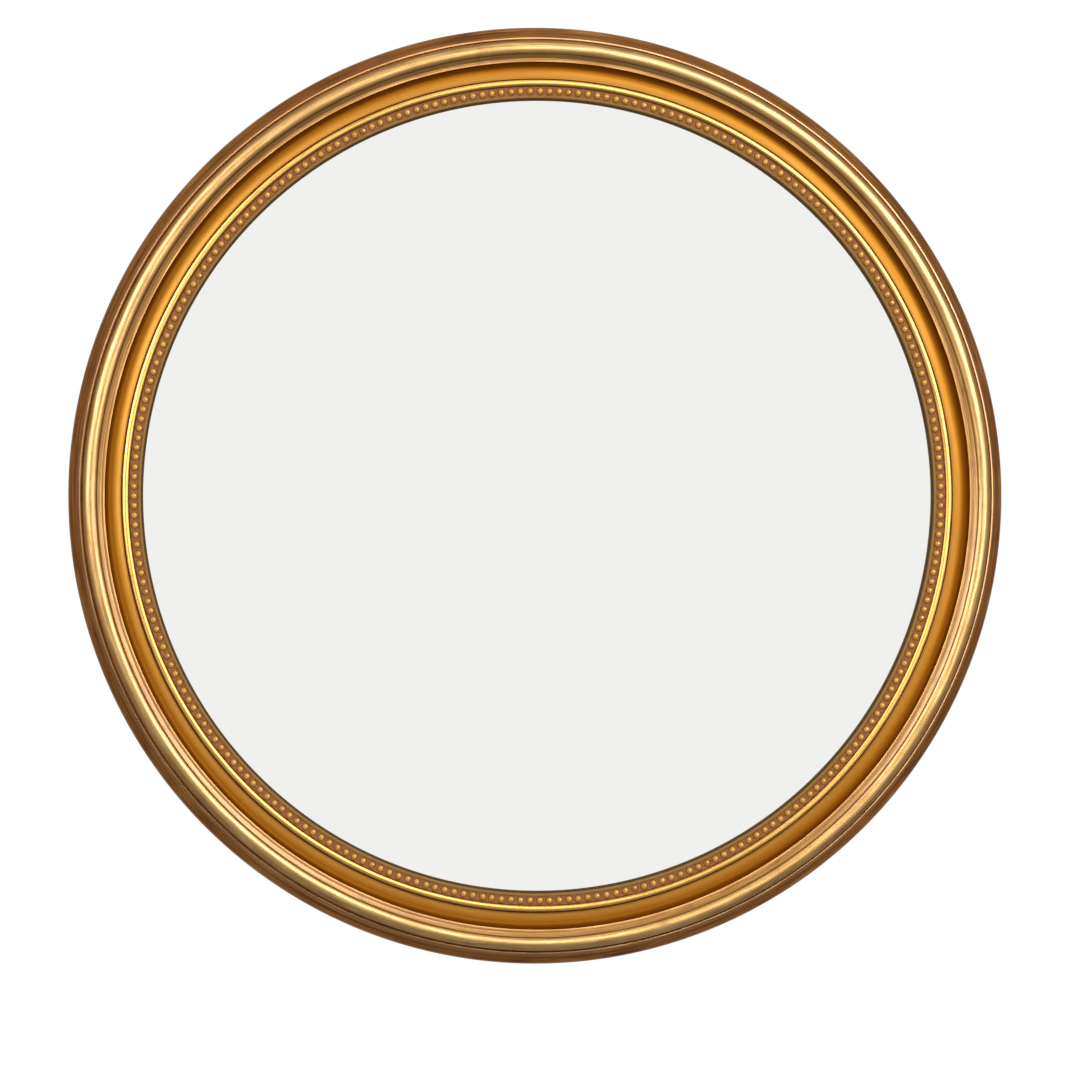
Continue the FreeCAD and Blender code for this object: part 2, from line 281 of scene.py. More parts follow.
def sawn_softwood(name, jointed):
    """Bare softwood. In a jointed ring the grain runs straight along each segment."""
    material, tree, shader = new_finish(name)
    grain_scale = (9, 160, 160)
    fibre_scale = (60, 1800, 1800)
    next_board = 0.37
    joint_share = 0.0012
    place = own_place(tree)
    if jointed:
        x, _, z = own_xyz(tree)
        segments = calc(tree, "DIVIDE", calc(tree, "ARCTAN2", x, z), segment_angle)
        index = calc(tree, "FLOOR", segments)
        middle = calc(tree, "MULTIPLY", calc(tree, "ADD", index, 0.5), -segment_angle)
        place = add(tree, "VectorRotate", {0: place, "Angle": middle}, rotation_type="Y_AXIS")
        board = add(tree, "CombineXYZ", {1: calc(tree, "MULTIPLY", index, next_board)})
        place = add(tree, "VectorMath", {0: place, 1: board}, operation="ADD")
    along_grain = add(tree, "VectorMath", {0: place, 1: grain_scale}, operation="MULTIPLY")
    inputs = {"Vector": along_grain, "Scale": 1.0, "Detail": 5.0, "Distortion": 0.6}
    grain = add(tree, "TexNoise", inputs)
    along_fibre = add(tree, "VectorMath", {0: place, 1: fibre_scale}, operation="MULTIPLY")
    fibres = add(tree, "TexNoise", {"Vector": along_fibre, "Scale": 1.0, "Detail": 2.0})
    tone = shaded(tree, grain, [
        (0.32, (0.300, 0.150, 0.055)),
        (0.50, (0.520, 0.310, 0.140)),
        (0.68, (0.640, 0.420, 0.210)),
    ])
    tone = over(tree, ranged(tree, fibres, 0.45, 0.75, 0.0, 0.4), tone, (0.25, 0.13, 0.05, 1))
    if jointed:
        part = calc(tree, "FRACT", segments)
        from_joint = calc(tree, "MINIMUM", part, calc(tree, "SUBTRACT", 1.0, part))
        glue = ranged(tree, from_joint, 0.0, joint_share, 0.85, 0.0)
        tone = over(tree, glue, tone, (0.10, 0.05, 0.02, 1))
    tree.links.new(tone, shader.inputs["Base Color"])
    shader.inputs["Roughness"].default_value = 0.72
    bumped(tree, shader, fibres, strength=0.35, distance=0.10 * mm)
    return material


nose_height = (ring_back + ring_front) / 2
ring_outline = section(
    (board_rebate_radius, ring_back),
    [
        (ring_radius - nose_depth, ring_back),
        (ring_radius - shoulder_in, ring_back + shoulder_down),
        (ring_radius, nose_height),
        (ring_radius - shoulder_in, ring_front - shoulder_down),
        (ring_radius - nose_depth, ring_front),
        (bore_radius, ring_front),
        (bore_radius, board_front),
        (board_rebate_radius, board_front),
    ],
)
soften(ring_outline, ring_softening)
turn_round(ring_outline, turning_steps)
paint_edge = ring_radius - nose_depth - paint_lap
for face in ring_outline.faces:
    middle = face.calc_center_median()
    painted = math.hypot(middle.x, middle.z) > paint_edge or -middle.y > ring_front - hair
    face.material_index = 0 if painted else 1
painted_umber = umber_paint()
softwood_ring = sawn_softwood("softwood_ring", jointed=True)
back_ring = finished_piece("back_ring", ring_outline, [painted_umber, softwood_ring])
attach(back_ring, "frame")
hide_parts(*[f"back_ring_segment_{number}" for number in range(1, 9)])

# Front moulding: eight gessoed segments turned to one profile: a painted band, a rubbed edge, a
# groove, the big torus, a flank, a burnished fillet and an ochre cove. All but the band is gilt.
slip_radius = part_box("beaded_slip")[1].x
moulding_foot = -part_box("moulding_segment_1")[1].y
slip_back = -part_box("beaded_slip")[1].y
slip_clearance = 0.2 * mm
cove_rim = 0.8 * mm
cove_width = 9.5 * mm
fillet_width = 2.2 * mm
flank_width = 2.4 * mm
cove_edge_radius = slip_radius + cove_rim
fillet_inner_radius = cove_edge_radius + cove_width
fillet_outer_radius = fillet_inner_radius + fillet_width
flank_radius = fillet_outer_radius + flank_width
flank_fall = 1.2 * mm
quirk_width = 0.5 * mm
quirk_depth = 1.0 * mm
torus_radius = 4.6 * mm
torus_rise = 5.8 * mm
torus_turn = 137
torus_middle_radius = flank_radius + quirk_width - torus_radius * math.cos(math.radians(torus_turn))
groove_inner_radius = torus_middle_radius + torus_radius
groove_radius = 1.6 * mm
edge_width = 1.1 * mm
band_batter = 2.9 * mm
band_height = 5.4 * mm
edge_radius = groove_inner_radius + groove_radius
band_top_radius = edge_radius + edge_width
band_foot_radius = band_top_radius + band_batter
band_top = moulding_foot + band_height
cove_wall = 3.0 * mm
cove_outer_radius = 3.8 * mm
cove_inner_radius = 10.0 * mm
moulding_softening = 0.28 * mm
waver_start = 1 * mm
long_waves, long_waver = 70, 0.07 * mm
short_waves, short_waver = 210, 0.012 * mm


def leaf_gold():
    """Gold leaf over bole: rubbed strokes, worn patches, a matt groove and edge lightened partly by
    wear and partly as painted light, and painted shade on the fillet and flank.
    """
    material, tree, shader = new_finish("leaf_gold")
    radius = from_axis(tree)
    strokes = streaks(tree, along=22 * mm, across=0.55 * mm, detail=5.0, distortion=0.3)
    patches = clouds(tree, 34 * mm, detail=4.0)
    dark, bright = (0.250, 0.115, 0.022, 1), (0.500, 0.315, 0.110, 1)
    tone = over(tree, ranged(tree, strokes, 0.32, 0.68), dark, bright)
    tone = over(tree, ranged(tree, patches, 0.42, 0.72, 0.0, 0.45), tone, dark)
    scratches = streaks(tree, along=9 * mm, across=0.30 * mm, detail=6.0)
    scuffs = calc(tree, "MULTIPLY", scratches, clouds(tree, 14 * mm))
    tone = over(tree, ranged(tree, scuffs, 0.33, 0.43, 0.0, 0.8), tone, (0.180, 0.055, 0.014, 1))
    # Tone by radius: the groove and the edge beside it lighter, partly rubbed and partly painted light
    # against the groove's shade; the fillet's outer side and the flank darker as painted shade.
    wear_and_painted_shading = shaded(tree, radius, [
        (fillet_inner_radius - 0.5 * mm, (0.46, 0.42, 0.37)),
        (fillet_inner_radius + 0.2 * mm, (0.52, 0.48, 0.43)),
        (fillet_inner_radius + 0.8 * mm, (0.40, 0.35, 0.28)),
        (fillet_inner_radius + 1.3 * mm, (0.22, 0.18, 0.11)),
        (fillet_outer_radius + 0.3 * mm, (0.25, 0.20, 0.12)),
        (flank_radius + 0.2 * mm, (0.32, 0.27, 0.17)),
        (flank_radius + 1.2 * mm, (0.44, 0.41, 0.36)),
        (torus_middle_radius - 1.0 * mm, (0.50, 0.52, 0.56)),
        (torus_middle_radius + 2.5 * mm, (0.50, 0.51, 0.54)),
        (groove_inner_radius - 0.8 * mm, (0.50, 0.46, 0.40)),
        (groove_inner_radius, (0.80, 0.66, 0.56)),
        (edge_radius - 0.3 * mm, (0.80, 0.66, 0.56)),
        (edge_radius + 0.2 * mm, (0.48, 0.41, 0.40)),
        (band_top_radius, (0.46, 0.38, 0.36)),
    ])
    tone = over(tree, 1.0, tone, wear_and_painted_shading, "MULTIPLY")
    tree.links.new(tone, shader.inputs["Base Color"])
    tree.links.new(ranged(tree, strokes, 0.3, 0.7, 0.52, 0.42), shader.inputs["Roughness"])
    bumped(tree, shader, strokes, strength=0.20, distance=0.05 * mm)
    # Metal everywhere but in the groove, which is left matt.
    metal_outside_groove = shaded(tree, radius, [
        (groove_inner_radius - 0.7 * mm, (1, 1, 1)),
        (groove_inner_radius + 0.1 * mm, (0, 0, 0)),
        (edge_radius - 0.2 * mm, (0, 0, 0)),
        (edge_radius + 0.2 * mm, (1, 1, 1)),
    ])
    tree.links.new(metal_outside_groove, shader.inputs["Metallic"])
    shader.inputs["Specular IOR Level"].default_value = 0.1
    shader.inputs["Specular Tint"].default_value = (0.40, 0.25, 0.10, 1)
    shader.inputs["Coat Weight"].default_value = 0.32
    shader.inputs["Coat Roughness"].default_value = 0.24
    return material


def ochre_gilding():
    """The cove's matt gold over yellow ochre, lightest near its inner edge and darkened towards its
    outer wall as painted light and shade.
    """
    material, tree, shader = new_finish("ochre_gilding")
    radius = from_axis(tree)
    # Painted light and shade by radius: a lit band just inside the inner edge, painted shade towards
    # the outer wall.
    tone = shaded(tree, radius, [
        (cove_edge_radius, (0.54, 0.225, 0.034)),
        (cove_edge_radius + 1.0 * mm, (0.78, 0.400, 0.078)),
        (cove_edge_radius + 2.4 * mm, (0.67, 0.300, 0.042)),
        (cove_edge_radius + 5.0 * mm, (0.36, 0.135, 0.010)),
        (cove_edge_radius + 7.4 * mm, (0.17, 0.050, 0.002)),
        (fillet_inner_radius, (0.12, 0.032, 0.001)),
    ])
    brushed = streaks(tree, along=60 * mm, across=1.6 * mm, detail=3.0)
    tone = over(tree, ranged(tree, brushed, 0.35, 0.75, 0.0, 0.25), tone, (0.30, 0.110, 0.010, 1))
    tree.links.new(tone, shader.inputs["Base Color"])
    tree.links.new(ranged(tree, brushed, 0.3, 0.7, 0.46, 0.56), shader.inputs["Roughness"])
    bumped(tree, shader, brushed, strength=0.15, distance=0.05 * mm)
    shader.inputs["Metallic"].default_value = 0.12
    shader.inputs["Specular IOR Level"].default_value = 0.0
    return material


torus_middle = (torus_middle_radius, band_top + torus_rise)
flank_top = torus_middle[1] + torus_radius * math.sin(math.radians(torus_turn)) - quirk_depth
fillet_height = flank_top - flank_fall
hollow_height = fillet_height - cove_wall
hollow_radius = fillet_inner_radius - cove_outer_radius
cove_floor = hollow_height - cove_outer_radius
cove_turn = -math.degrees(math.asin((hollow_radius - cove_edge_radius) / cove_inner_radius))
cove_edge_height = cove_floor + cove_inner_radius * (1 - math.cos(math.radians(cove_turn)))
slip_rebate_radius = slip_radius + slip_clearance
moulding_outline = section(
    (bore_radius, moulding_foot),
    [
        (band_foot_radius, moulding_foot),
        (band_top_radius, band_top),
        (edge_radius, band_top),
        ((groove_inner_radius, band_top), -90),
        (groove_inner_radius, torus_middle[1]),
        (torus_middle, torus_turn),
        (flank_radius, flank_top),
        (fillet_outer_radius, fillet_height),
        (fillet_inner_radius, fillet_height),
        (fillet_inner_radius, hollow_height),
        ((hollow_radius, hollow_height), -90),
        ((hollow_radius, cove_floor + cove_inner_radius), cove_turn),
        (slip_rebate_radius, cove_edge_height),
        (slip_rebate_radius, slip_back),
        (bore_radius, slip_back),
    ],
)
soften(moulding_outline, moulding_softening)
turn_round(moulding_outline, turning_steps)
for vert in moulding_outline.verts:
    if -vert.co.y > moulding_foot + waver_start:
        waver = noise.noise(vert.co * long_waves) * long_waver
        waver += noise.noise(vert.co * short_waves) * short_waver
        vert.co += vert.normal * waver
for face in moulding_outline.faces:
    middle = face.calc_center_median()
    radius = math.hypot(middle.x, middle.z)
    in_cove = radius < fillet_inner_radius + hair and -middle.y < fillet_height - 3 * hair
    on_band = radius > band_top_radius - hair
    face.material_index = 1 if in_cove else 2 if on_band else 0
moulding_finishes = [leaf_gold(), ochre_gilding(), painted_umber]
moulding = finished_piece("gilded_moulding", moulding_outline, moulding_finishes)
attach(moulding, "frame")
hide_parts(*[f"moulding_segment_{number}" for number in range(1, 9)])

# Beaded slip: a thin inner ring with an astragal, a sunk channel for the beads and a bevelled
# lip over the glass. Its astragal is burnished gold and its channel shows the pinkish bole.
glass_lap = 4.2 * mm
lip_width = 1.8 * mm
lip_height = 2.9 * mm
lip_bevel = 0.7 * mm
lip_fall = 1.9 * mm
channel_width = 5.6 * mm
channel_depth = 0.8 * mm
sight_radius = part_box("mirror_glass")[1].x - glass_lap
channel_inner = sight_radius + lip_width
channel_outer = channel_inner + channel_width
lip_top = slip_back + lip_height
channel_floor = lip_top - channel_depth
slip_softening = 0.15 * mm
astragal_seat = slip_back + 2.4 * mm
astragal_rise = 1.6 * mm
astragal_half = (slip_radius - channel_outer) / 2
astragal_arc = (astragal_half**2 + astragal_rise**2) / (2 * astragal_rise)
astragal_middle = (channel_outer + astragal_half, astragal_seat + astragal_rise - astragal_arc)
astragal_turn = 2 * math.degrees(math.asin(astragal_half / astragal_arc))


def slip_gilding():
    """Burnished astragal, bole in the channel, olive gold on the lip, painted shade beside the glass
    and at the astragal's feet.
    """
    material, tree, shader = new_finish("slip_gilding")
    radius = from_axis(tree)
    strokes = streaks(tree, along=14 * mm, across=0.45 * mm, detail=5.0)
    # By radius, with painted shade: dark beside the glass, at the astragal's foot in the channel and
    # at the slip's outer edge.
    tone = shaded(tree, radius, [
        (sight_radius + 0.03 * mm, (0.130, 0.085, 0.045)),
        (sight_radius + 0.12 * mm, (0.160, 0.090, 0.032)),
        (sight_radius + 0.40 * mm, (0.260, 0.145, 0.045)),
        (sight_radius + 0.65 * mm, (0.400, 0.225, 0.072)),
        (channel_inner - 0.3 * mm, (0.400, 0.215, 0.062)),
        (channel_inner + 0.2 * mm, (0.420, 0.185, 0.074)),
        (channel_outer - 0.2 * mm, (0.460, 0.200, 0.088)),
        (channel_outer + 0.3 * mm, (0.110, 0.050, 0.010)),
        (channel_outer + 1.4 * mm, (0.230, 0.125, 0.030)),
        (slip_radius - 1.2 * mm, (0.300, 0.175, 0.050)),
        (slip_radius - 0.3 * mm, (0.180, 0.080, 0.015)),
        (slip_radius, (0.060, 0.020, 0.003)),
    ])
    tone = over(tree, ranged(tree, strokes, 0.50, 0.72, 0.0, 0.4), tone, (0.10, 0.040, 0.012, 1))
    tree.links.new(tone, shader.inputs["Base Color"])
    burnished = shaded(tree, radius, [
        (channel_outer - 0.1 * mm, (0, 0, 0)),
        (channel_outer + 0.4 * mm, (1, 1, 1)),
    ])
    tree.links.new(burnished, shader.inputs["Metallic"])
    tree.links.new(ranged(tree, strokes, 0.3, 0.7, 0.44, 0.32), shader.inputs["Roughness"])
    bumped(tree, shader, strokes, strength=0.25, distance=0.05 * mm)
    shader.inputs["Specular IOR Level"].default_value = 0.0
    shader.inputs["Specular Tint"].default_value = (0.40, 0.25, 0.10, 1)
    return material


slip_outline = section(
    (sight_radius, slip_back),
    [
        (slip_radius, slip_back),
        (slip_radius, astragal_seat),
        (astragal_middle, astragal_turn),
        (channel_outer, channel_floor),
        (channel_inner, channel_floor),
        (channel_inner, lip_top),
        (sight_radius + lip_bevel, lip_top),
        (sight_radius, lip_top - lip_fall),
    ],
)
soften(slip_outline, slip_softening)
turn_round(slip_outline, turning_steps)
slip = finished_piece("gilded_slip", slip_outline, [slip_gilding()])
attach(slip, "frame")
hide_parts("beaded_slip")

# Bead course: small composition beads pressed into the slip's channel and gilt with it, so no
# two are quite alike and a few are squashed.
bead_radius = 2.35 * mm
bead_pitch = 5.96 * mm
bead_ring = (channel_inner + channel_outer) / 2
bead_count = round(2 * math.pi * bead_ring / bead_pitch)
bead_sides = 12
bead_rows = 8
bead_spans = (0.93, 1.0)
whole_heights = (0.90, 1.0)
squashed_heights = (0.45, 0.65)
squashed_share = 0.03
stray_pitches = 0.03
stray_across = 0.12


def bead_gilding():
    """Rubbed gold, lighter on the beads' crowns and darker round their feet as painted light and
    shade.
    """
    material, tree, shader = new_finish("bead_gilding")
    _, y, _ = own_xyz(tree)
    height = calc(tree, "MULTIPLY", y, -1.0)
    # Painted light and shade by height: lit crowns, shaded feet.
    tone = shaded(tree, height, [
        (channel_floor, (0.170, 0.058, 0.006)),
        (channel_floor + 0.35 * bead_radius, (0.360, 0.145, 0.017)),
        (channel_floor + 0.70 * bead_radius, (0.620, 0.300, 0.046)),
        (channel_floor + 0.95 * bead_radius, (0.700, 0.385, 0.082)),
    ])
    patches = clouds(tree, 5 * mm)
    tone = over(tree, ranged(tree, patches, 0.45, 0.75, 0.0, 0.5), tone, (0.30, 0.100, 0.014, 1))
    tree.links.new(tone, shader.inputs["Base Color"])
    tree.links.new(ranged(tree, patches, 0.3, 0.7, 0.22, 0.34), shader.inputs["Roughness"])
    bumped(tree, shader, clouds(tree, 0.8 * mm), strength=0.3, distance=0.05 * mm)
    shader.inputs["Specular IOR Level"].default_value = 0.45
    shader.inputs["Specular Tint"].default_value = (1.0, 0.74, 0.38, 1)
    return material


random.seed(11)
dome_work = bmesh.new()
stand_up = Matrix.Rotation(math.radians(90), 4, "X")
bmesh.ops.create_uvsphere(
    dome_work, u_segments=bead_sides, v_segments=bead_rows, radius=bead_radius, matrix=stand_up,
)
below = [vert for vert in dome_work.verts if vert.co.y > hair]
bmesh.ops.delete(dome_work, geom=below, context="VERTS")
bmesh.ops.holes_fill(dome_work, edges=dome_work.edges, sides=bead_sides)
bmesh.ops.recalc_face_normals(dome_work, faces=dome_work.faces)
dome = as_mesh("bead", dome_work)
bead_work = bmesh.new()
for index in range(bead_count):
    squashed = random.random() < squashed_share
    squash = random.uniform(*(squashed_heights if squashed else whole_heights))
    turn = 2 * math.pi * (index + random.uniform(-stray_pitches, stray_pitches)) / bead_count
    across = random.uniform(-stray_across, stray_across) * mm
    place = Matrix.Rotation(turn, 4, "Y")
    place @= Matrix.Translation(at(bead_ring + across, channel_floor))
    place @= Matrix.Rotation(random.uniform(0, math.pi), 4, "Y")
    place @= Matrix.Diagonal((random.uniform(*bead_spans), squash, random.uniform(*bead_spans), 1))
    bead = dome.copy()
    bead.transform(place)
    bead_work.from_mesh(bead)
    bpy.data.meshes.remove(bead)
bpy.data.meshes.remove(dome)
beads = finished_piece("gilded_beads", bead_work, [bead_gilding()])
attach(beads, "frame")
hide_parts("bead_course")

# Mirror glass: one sheet of 4 mm glass slumped over a former into a shallow dome and silvered
# behind. It lies loose against the slip's back, with a small clearance round its edge.
glass_low, glass_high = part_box("mirror_glass")
glass_radius = glass_high.x
glass_top = -glass_low.y
glass_thickness = 4 * mm
glass_rise = 38 * mm
sphere_radius = (glass_radius**2 + glass_rise**2) / (2 * glass_rise)
sphere_middle = glass_top - sphere_radius
glass_spread = math.degrees(math.asin(glass_radius / sphere_radius))
back_spread = math.degrees(math.asin(glass_radius / (sphere_radius - glass_thickness)))
dome_rings = 72
glass_steps = 256


def silvered_glass():
    """Bright silvering seen through clear glass."""
    material, tree, shader = new_finish("silvered_glass")
    drift = clouds(tree, 160 * mm, detail=1.0)
    tone = over(tree, drift, (0.866, 0.866, 0.850, 1), (0.876, 0.876, 0.862, 1))
    tree.links.new(tone, shader.inputs["Base Color"])
    shader.inputs["Metallic"].default_value = 1.0
    shader.inputs["Roughness"].default_value = 0.03
    return material


glass_outline = bmesh.new()
crown = glass_outline.verts.new(at(0, glass_top))
bmesh.ops.spin(
    glass_outline, geom=[crown], cent=at(0, sphere_middle), axis=(1, 0, 0),
    angle=-math.radians(glass_spread), steps=dome_rings,
)
under = glass_outline.verts.new(at(0, glass_top - glass_thickness))
bmesh.ops.spin(
    glass_outline, geom=[under], cent=at(0, sphere_middle), axis=(1, 0, 0),
    angle=-math.radians(back_spread), steps=dome_rings // 3,
)
rims = sorted(glass_outline.verts, key=lambda vert: vert.co.z)[-2:]
glass_outline.edges.new(rims)
turn_round(glass_outline, glass_steps)
glass = finished_piece("domed_glass", glass_outline, [silvered_glass()])
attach(glass, "frame")
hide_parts("mirror_glass")

# Glazing blocks: eight short blocks of sawn softwood glued round the bore behind the glass, which
# keep it on the slip. The solids show as they were built.


def finish_solid(node, finish):
    """Gives its finish to a solid that shows as it was built."""
    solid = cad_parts[node]
    solid.data.materials.clear()
    solid.data.materials.append(finish)


finish_solid("glazing_blocks", sawn_softwood("block_softwood", jointed=False))

# Backing board: a disc of brown hardboard laid loose in the back ring's rebate, where the turn
# buttons hold it. The solid shows as it was built.


def hardboard():
    """Pressed wood fibre: brown, with pale and dark flecks and a faint shine."""
    material, tree, shader = new_finish("hardboard")
    fibre = clouds(tree, 1.6 * mm, detail=6.0, rough=0.65)
    tone = shaded(tree, fibre, [
        (0.30, (0.105, 0.050, 0.022)),
        (0.50, (0.185, 0.095, 0.042)),
        (0.72, (0.300, 0.170, 0.080)),
    ])
    stain = ranged(tree, clouds(tree, 90 * mm), 0.4, 0.7, 0.0, 0.35)
    tone = over(tree, stain, tone, (0.12, 0.06, 0.03, 1))
    tree.links.new(tone, shader.inputs["Base Color"])
    tree.links.new(ranged(tree, fibre, 0.3, 0.7, 0.62, 0.50), shader.inputs["Roughness"])
    bumped(tree, shader, fibre, strength=0.4, distance=0.06 * mm)
    return material


finish_solid("backing_board", hardboard())

# Turn buttons: four zinc plated plates, each free to turn on its screw, that hold the board in.
# Their screws are slotted, with domed heads.
button_angles = {"top": 0, "right": 90, "bottom": 180, "left": -90}
button_pivot_radius = board_rebate_radius + 11.2 * mm
button_thickness = 1.3 * mm
button_eye_radius = 7.0 * mm
button_tip_radius = 3.6 * mm
button_reach = 21.5 * mm
button_bore_radius = 1.81 * mm
button_softening = 0.25 * mm
screw_radius = 1.75 * mm
screw_head_radius = 3.4 * mm
screw_head_height = 1.9 * mm
screw_crown = ((0.45, 1.0), (0.80, 0.80), (1.0, 0.35))
screw_softening = 0.3 * mm
screw_point = 2 * mm
screw_length = 9.6 * mm
screw_steps = 32
slot_width = 0.9 * mm
slot_depth = 0.9 * mm
button_slot_turns = (20, 75, -35, 50)


def zinc(name):
    """Zinc plate on pressed steel: grey, with a faint spangle and dull scratches."""
    material, tree, shader = new_finish(name)
    spangle = clouds(tree, 2.5 * mm, detail=3.0)
    tone = over(tree, spangle, (0.46, 0.46, 0.45, 1), (0.66, 0.66, 0.64, 1))
    tarnish = ranged(tree, clouds(tree, 7 * mm), 0.52, 0.72, 0.0, 0.5)
    tone = over(tree, tarnish, tone, (0.30, 0.27, 0.22, 1))
    tree.links.new(tone, shader.inputs["Base Color"])
    tree.links.new(ranged(tree, spangle, 0.3, 0.7, 0.30, 0.46), shader.inputs["Roughness"])
    bumped(tree, shader, clouds(tree, 0.5 * mm), strength=0.15, distance=0.04 * mm)
    shader.inputs["Metallic"].default_value = 1.0
    return material


def round_frame(angle):
    """Carries a piece drawn at the top of the frame round to its clock angle."""
    return Matrix.Rotation(math.radians(angle), 4, "Y")


def button_plate():
    """A teardrop plate about the origin: an eye, an arm that tapers to a round tip, and a bore."""
    plate = bmesh.new()
    lean = math.asin((button_eye_radius - button_tip_radius) / button_reach)
    start = Vector((button_eye_radius * math.cos(lean), 0, -button_eye_radius * math.sin(lean)))
    first = plate.verts.new(start)
    eye = bmesh.ops.spin(
        plate, geom=[first], cent=(0, 0, 0), axis=axis, angle=-(math.pi + 2 * lean), steps=28,
    )
    eye_left = only(eye["geom_last"], bmesh.types.BMVert)[0]
    side = Vector((-math.cos(lean), 0, -math.sin(lean)))
    tip_left = plate.verts.new(Vector((0, 0, -button_reach)) + side * button_tip_radius)
    plate.edges.new((eye_left, tip_left))
    tip = bmesh.ops.spin(
        plate, geom=[tip_left], cent=(0, 0, -button_reach), axis=axis,
        angle=-(math.pi - 2 * lean), steps=16,
    )
    tip_right = only(tip["geom_last"], bmesh.types.BMVert)[0]
    plate.edges.new((tip_right, first))
    bmesh.ops.create_circle(
        plate, segments=32, radius=button_bore_radius, matrix=Matrix.Rotation(math.pi / 2, 4, "X"),
    )
    bmesh.ops.triangle_fill(plate, edges=plate.edges, use_beauty=True)
    return plate


def thicken(plate, depth, softening):
    """Gives a flat shape its thickness towards the wall, and breaks its sharp edges."""
    faces = plate.faces[:]
    raised = bmesh.ops.extrude_face_region(plate, geom=faces, use_keep_orig=True)
    moved = only(raised["geom"], bmesh.types.BMVert)
    bmesh.ops.translate(plate, verts=moved, vec=(0, depth, 0))
    bmesh.ops.recalc_face_normals(plate, faces=plate.faces)
    sharp = [
        edge for edge in plate.edges
        if len(edge.link_faces) == 2 and edge.calc_face_angle() > math.radians(60)
    ]
    bmesh.ops.bevel(
        plate, geom=sharp, offset=softening, offset_type="OFFSET", segments=2,
        profile=0.5, affect="EDGES", material=-1, clamp_overlap=True,
    )


def open_at_axis(outline):
    """Drops an outline's edge along its axis, so that the turned piece has no wall inside."""
    core = [edge for edge in outline.edges if all(vert.co.z < 0.001 * mm for vert in edge.verts)]
    bmesh.ops.delete(outline, geom=core, context="EDGES")


def slotted_screw():
    """A screw driven away from the wall: its head's underside is at the origin, its slot on top."""
    whole = section(
        (0, -screw_head_height),
        [(screw_head_radius * out, -screw_head_height * up) for out, up in screw_crown]
        + [
            (screw_head_radius, 0),
            (screw_radius, 0),
            (screw_radius, screw_length - screw_point),
            (0, screw_length),
        ],
    )
    corners = [vert for vert in whole.verts if vert.co.z > 0]
    round_corners(whole, corners, screw_softening, segments=2)
    open_at_axis(whole)
    turn_round(whole, screw_steps)
    head = as_mesh("screw_head", whole)
    # The slot is left between three parts: what lies below its floor, and the two cheeks beside it.
    work = bmesh.new()
    slot_floor = screw_head_height - slot_depth
    cuts = [
        [((0, slot_floor, 0), (0, 1, 0))],
        [((0, slot_floor, 0), (0, -1, 0)), ((slot_width / 2, 0, 0), (-1, 0, 0))],
        [((0, slot_floor, 0), (0, -1, 0)), ((-slot_width / 2, 0, 0), (1, 0, 0))],
    ]
    for planes in cuts:
        part = bmesh.new()
        part.from_mesh(head)
        for place, away in planes:
            cut = bmesh.ops.bisect_plane(
                part, geom=part.verts[:] + part.edges[:] + part.faces[:],
                plane_co=place, plane_no=away, clear_outer=True,
            )
            bmesh.ops.edgeloop_fill(part, edges=only(cut["geom_cut"], bmesh.types.BMEdge))
        shard = as_mesh("screw_part", part)
        work.from_mesh(shard)
        bpy.data.meshes.remove(shard)
    bpy.data.meshes.remove(head)
    bmesh.ops.recalc_face_normals(work, faces=work.faces)
    return work


def driven_screws(name, places, finish):
    """The screws of one group, each at an angle, a radius, a height and the turn of its slot."""
    screw = as_mesh("screw", slotted_screw())
    work = bmesh.new()
    for angle, radius, seat, slot_turn in places:
        place = round_frame(angle) @ Matrix.Translation(at(radius, seat)) @ round_frame(slot_turn)
        driven = screw.copy()
        driven.transform(place)
        work.from_mesh(driven)
        bpy.data.meshes.remove(driven)
    bpy.data.meshes.remove(screw)
    return finished_piece(name, work, [finish])


zinc_plate = zinc("zinc_plate")
for side, angle in button_angles.items():
    plate = button_plate()
    thicken(plate, button_thickness, button_softening)
    place = round_frame(angle) @ Matrix.Translation(at(button_pivot_radius, ring_back))
    bmesh.ops.transform(plate, matrix=place, verts=plate.verts)
    button = finished_piece(f"button_plate_{side}", plate, [zinc_plate])
    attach(button, f"turn_button_{side}")
    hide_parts(f"turn_button_{side}")
button_seat = ring_back - button_thickness - hair
button_screws = driven_screws(
    "button_screws",
    [
        (angle, button_pivot_radius, button_seat, slot_turn)
        for angle, slot_turn in zip(button_angles.values(), button_slot_turns)
    ],
    zinc_plate,
)
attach(button_screws, "frame")
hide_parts("turn_button_screws")

# Strap hangers: brass plated steel straps folded round the D-rings' bars and screwed to the ring.
# The straps show as they were built. Each D-ring is bent from round wire and swings in its strap.
hanger_angles = {"left": -60, "right": 60}
hinge_radius = board_rebate_radius + 2.2 * mm
strap_ply = 0.9 * mm
wire_radius = 1.15 * mm
wire_clearance = 0.06 * mm
hinge_height = ring_back - (wire_radius + wire_clearance + strap_ply)
ring_half_width = 7.45 * mm
ring_leg = 5.5 * mm
ring_corner = 1.9 * mm
strap_screw_distance = 11.8 * mm
strap_slot_turns = (35, -15)


def brass_plating():
    """Thin brass plate, dulled and a little brown."""
    material, tree, shader = new_finish("brass_plating")
    dull = clouds(tree, 3 * mm, detail=4.0)
    tone = over(tree, dull, (0.46, 0.30, 0.11, 1), (0.72, 0.52, 0.22, 1))
    tarnish = ranged(tree, clouds(tree, 9 * mm), 0.5, 0.7, 0.0, 0.5)
    tone = over(tree, tarnish, tone, (0.22, 0.12, 0.05, 1))
    tree.links.new(tone, shader.inputs["Base Color"])
    tree.links.new(ranged(tree, dull, 0.3, 0.7, 0.42, 0.28), shader.inputs["Roughness"])
    bumped(tree, shader, clouds(tree, 0.4 * mm), strength=0.12, distance=0.04 * mm)
    shader.inputs["Metallic"].default_value = 1.0
    return material


